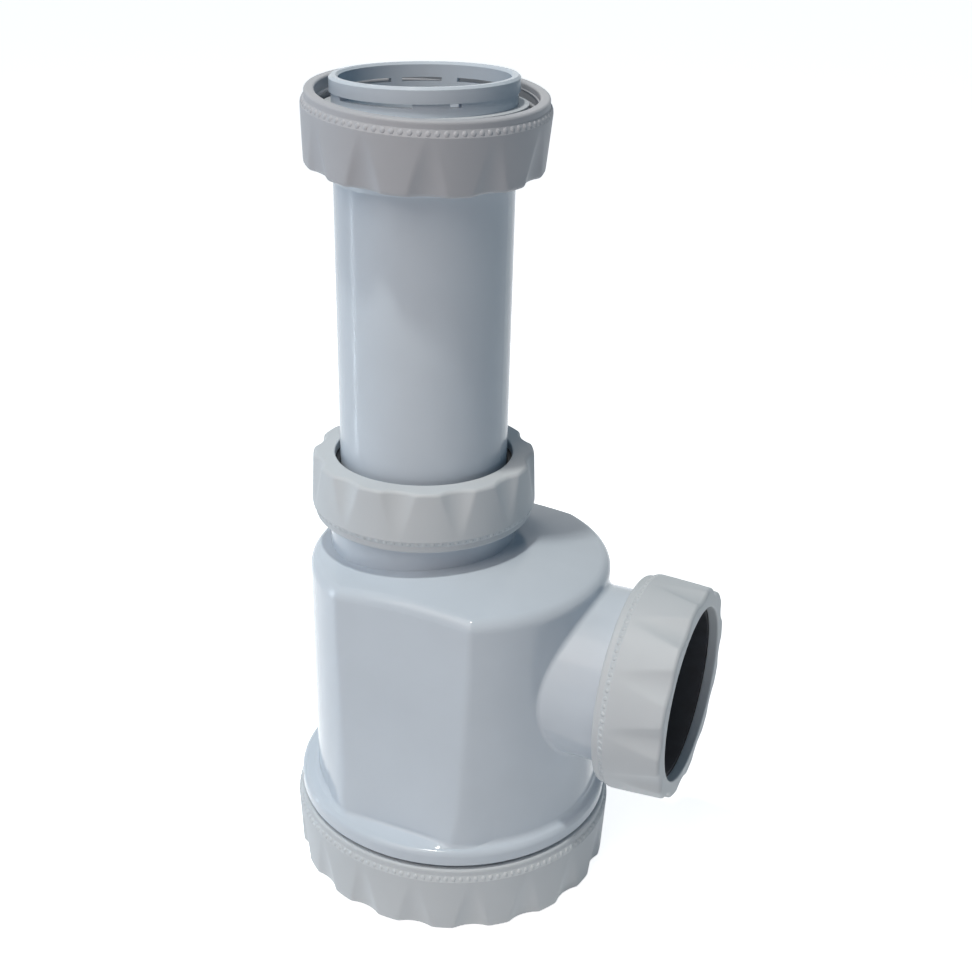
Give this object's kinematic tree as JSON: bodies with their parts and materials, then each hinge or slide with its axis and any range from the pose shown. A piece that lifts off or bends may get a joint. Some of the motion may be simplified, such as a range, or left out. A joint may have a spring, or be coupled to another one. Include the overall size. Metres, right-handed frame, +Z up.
{
  "type": "drain trap",
  "caption": "White plastic bottle trap for a sink or basin, with a telescopic inlet tube, a side outlet with a compression nut and a screwed base cap.",
  "frame": {"origin": "centre of the base cap's flat underside", "axes": "+Z up along the inlet tube, +X out along the outlet branch"},
  "size_m": [0.1031, 0.0824, 0.1963],
  "materials": {
    "bottle": "gloss",
    "nut": "satin",
    "washer": "satin",
    "seal": "satin"
  },
  "bodies": {
    "bottle": {"bottle": "bottle"},
    "inlet_tube": {"inlet_tube": "bottle", "inlet_washer": "washer"},
    "inlet_nut": {"inlet_nut": "nut"},
    "neck_seal": {"neck_seal": "seal"},
    "neck_nut": {"neck_nut": "nut"},
    "outlet_seal": {"outlet_seal": "seal"},
    "outlet_nut": {"outlet_nut": "nut"},
    "base_seal": {"base_seal": "seal"},
    "base_cap": {"base_cap": "nut"}
  },
  "joints": [
    {"name": "tube_slide", "type": "slide", "parent": "bottle", "child": "inlet_tube", "axis": [0, 0, 1], "range_m": [-0.055, 0.015]},
    {"name": "inlet_nut_spin", "type": "hinge", "parent": "inlet_tube", "child": "inlet_nut", "pos_m": [-0.009, 0, 0.1793], "axis": [0.072, -0.0523, 0.996], "continuous": true},
    {"name": "neck_seal_lift", "type": "slide", "parent": "bottle", "child": "neck_seal", "axis": [0, 0, 1], "range_m": [0, 0.0075]},
    {"name": "neck_nut_turn", "type": "hinge", "parent": "neck_seal", "child": "neck_nut", "pos_m": [-0.009, 0, 0.104], "axis": [0, 0, 1], "range_deg": [0, 900]},
    {"name": "outlet_seal_shift", "type": "slide", "parent": "bottle", "child": "outlet_seal", "axis": [1, 0, 0], "range_m": [0, 0.009]},
    {"name": "outlet_nut_turn", "type": "hinge", "parent": "outlet_seal", "child": "outlet_nut", "pos_m": [0.0537, 0, 0.061], "axis": [1, 0, 0], "range_deg": [0, 1080]},
    {"name": "base_seal_drop", "type": "slide", "parent": "bottle", "child": "base_seal", "axis": [0, 0, -1], "range_m": [0, 0.012]},
    {"name": "base_cap_turn", "type": "hinge", "parent": "base_seal", "child": "base_cap", "pos_m": [0, 0, 0.009], "axis": [0, 0, -1], "range_deg": [0, 1080]}
  ],
  "couplings": [
    {"joint": "neck_seal_lift", "follows": "neck_nut_turn", "m_per_rad": 0.00047746},
    {"joint": "outlet_seal_shift", "follows": "outlet_nut_turn", "m_per_rad": 0.00047746},
    {"joint": "base_seal_drop", "follows": "base_cap_turn", "m_per_rad": 0.00063661}
  ]
}
